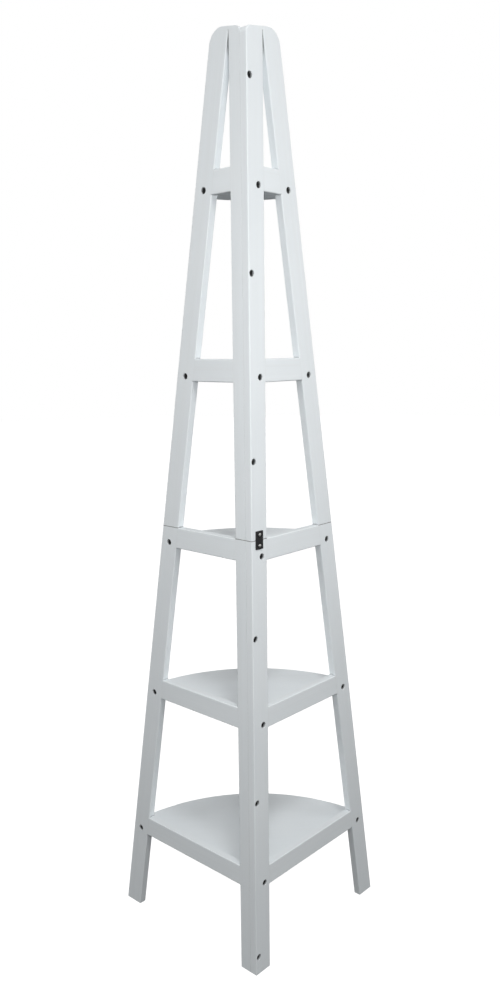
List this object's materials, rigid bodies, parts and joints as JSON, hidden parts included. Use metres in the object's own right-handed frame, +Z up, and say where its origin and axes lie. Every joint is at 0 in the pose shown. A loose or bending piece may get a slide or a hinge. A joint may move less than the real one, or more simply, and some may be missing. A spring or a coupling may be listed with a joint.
{
  "type": "corner ladder shelf",
  "caption": "Free-standing corner ladder shelf with quarter-round tiers between two side frames at a right angle, each an upright post and a leaning leg joined by rails.",
  "frame": {"origin": "centre of the bounding box at floor level", "axes": "+Z up; the arris that goes into the corner of the room is at -X +Y, the right side runs along +X against a wall at +Y, and the left side runs along -Y against a wall at -X"},
  "size_m": [0.4062, 0.4025, 1.8],
  "materials": {
    "white_painted_wood": "satin white paint on wood",
    "black_steel": "black coated steel",
    "zinc_steel": "bright zinc plate",
    "dowel_wood": "bare beech"
  },
  "bodies": {
    "root": {"lower_left_post": "white_painted_wood", "lower_right_post": "white_painted_wood", "lower_left_leg": "white_painted_wood", "lower_right_leg": "white_painted_wood", "upper_left_post": "white_painted_wood", "upper_right_post": "white_painted_wood", "upper_left_leg": "white_painted_wood", "upper_right_leg": "white_painted_wood", "left_rail_1": "white_painted_wood", "left_rail_2": "white_painted_wood", "left_rail_3": "white_painted_wood", "left_rail_4": "white_painted_wood", "left_rail_5": "white_painted_wood", "right_rail_1": "white_painted_wood", "right_rail_2": "white_painted_wood", "right_rail_3": "white_painted_wood", "right_rail_4": "white_painted_wood", "right_rail_5": "white_painted_wood", "shelf_1": "white_painted_wood", "shelf_2": "white_painted_wood", "shelf_3": "white_painted_wood", "shelf_4": "white_painted_wood", "shelf_5": "white_painted_wood", "connector_bolts": "black_steel", "threaded_inserts": "zinc_steel", "section_dowels": "dowel_wood", "rail_dowels": "dowel_wood", "joint_plate": "black_steel", "plate_screws": "zinc_steel"}
  },
  "joints": []
}
